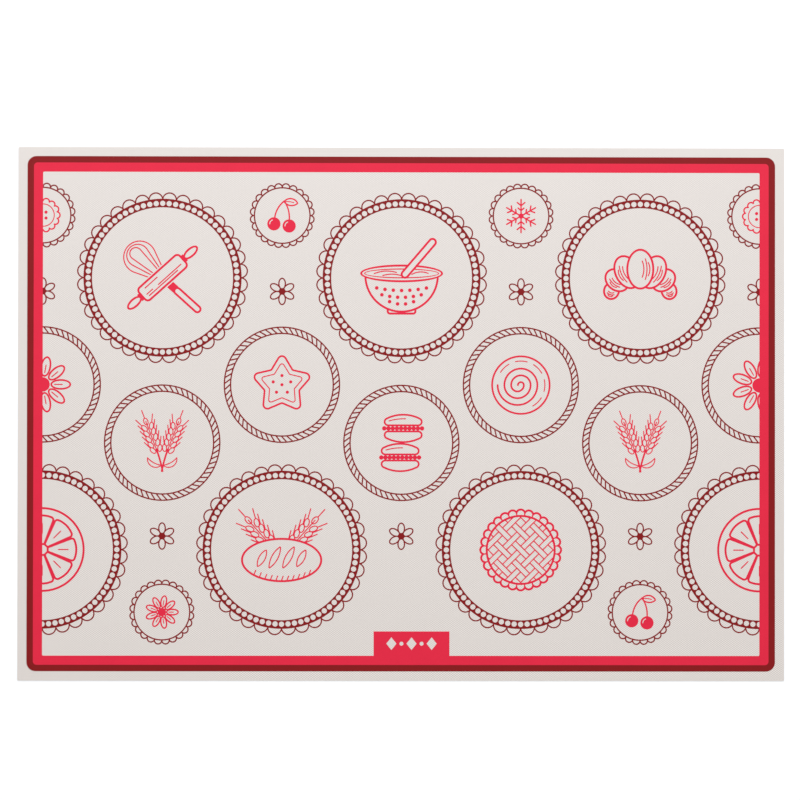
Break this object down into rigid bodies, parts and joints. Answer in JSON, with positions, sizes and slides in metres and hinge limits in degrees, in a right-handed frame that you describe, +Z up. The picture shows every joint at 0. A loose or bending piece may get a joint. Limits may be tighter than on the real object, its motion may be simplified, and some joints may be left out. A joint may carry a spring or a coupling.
{
  "type": "silicone baking mat",
  "caption": "Flat rectangular non-stick baking mat: translucent silicone over woven glass-fibre cloth, with a printed frame and baking line drawings on its upper face.",
  "frame": {"origin": "middle of the underside, on the surface that the mat lies on", "axes": "+X along the long side, to the right when the label tab is nearest; +Y towards the far long side; +Z up, out of the printed face"},
  "size_m": [0.419, 0.2914, 0.0008],
  "materials": {
    "silicone": "satin, translucent white",
    "glass_cloth": "plain weave",
    "ink_dark": "satin dark red ink",
    "ink_bright": "satin bright red ink"
  },
  "bodies": {
    "root": {"base_silicone_layer": "silicone", "border_print_bright": "ink_bright", "border_print_dark": "ink_dark", "button_biscuit_small_print_1": "ink_bright", "button_biscuit_small_print_7": "ink_bright", "cherries_small_print_3": "ink_bright", "cherries_small_print_6": "ink_bright", "cinnamon_roll_medium_print_5": "ink_bright", "citrus_slice_large_print_1": "ink_bright", "citrus_slice_large_print_7": "ink_bright", "croissant_large_print_6": "ink_bright", "crossed_tools_large_print_2": "ink_bright", "daisy_medium_print_1": "ink_bright", "daisy_medium_print_7": "ink_bright", "daisy_small_print_2": "ink_bright", "glass_fibre_cloth": "glass_cloth", "large_ring_print_1": "ink_dark", "large_ring_print_2": "ink_dark", "large_ring_print_3": "ink_dark", "large_ring_print_4": "ink_dark", "large_ring_print_5": "ink_dark", "large_ring_print_6": "ink_dark", "large_ring_print_7": "ink_dark", "lattice_pie_large_print_5": "ink_bright", "loaf_and_wheat_large_print_3": "ink_bright", "macarons_medium_print_4": "ink_bright", "medium_ring_print_1": "ink_dark", "medium_ring_print_2": "ink_dark", "medium_ring_print_3": "ink_dark", "medium_ring_print_4": "ink_dark", "medium_ring_print_5": "ink_dark", "medium_ring_print_6": "ink_dark", "medium_ring_print_7": "ink_dark", "mixing_bowl_large_print_4": "ink_bright", "rosette_print_1": "ink_dark", "rosette_print_2": "ink_dark", "rosette_print_3": "ink_dark", "rosette_print_4": "ink_dark", "rosette_print_5": "ink_dark", "rosette_print_6": "ink_dark", "rosette_print_7": "ink_dark", "small_ring_print_1": "ink_dark", "small_ring_print_2": "ink_dark", "small_ring_print_3": "ink_dark", "small_ring_print_5": "ink_dark", "small_ring_print_6": "ink_dark", "small_ring_print_7": "ink_dark", "snowflake_small_print_5": "ink_bright", "star_biscuit_medium_print_3": "ink_bright", "top_silicone_layer": "silicone", "wheat_pair_medium_print_2": "ink_bright", "wheat_pair_medium_print_6": "ink_bright"}
  },
  "joints": []
}
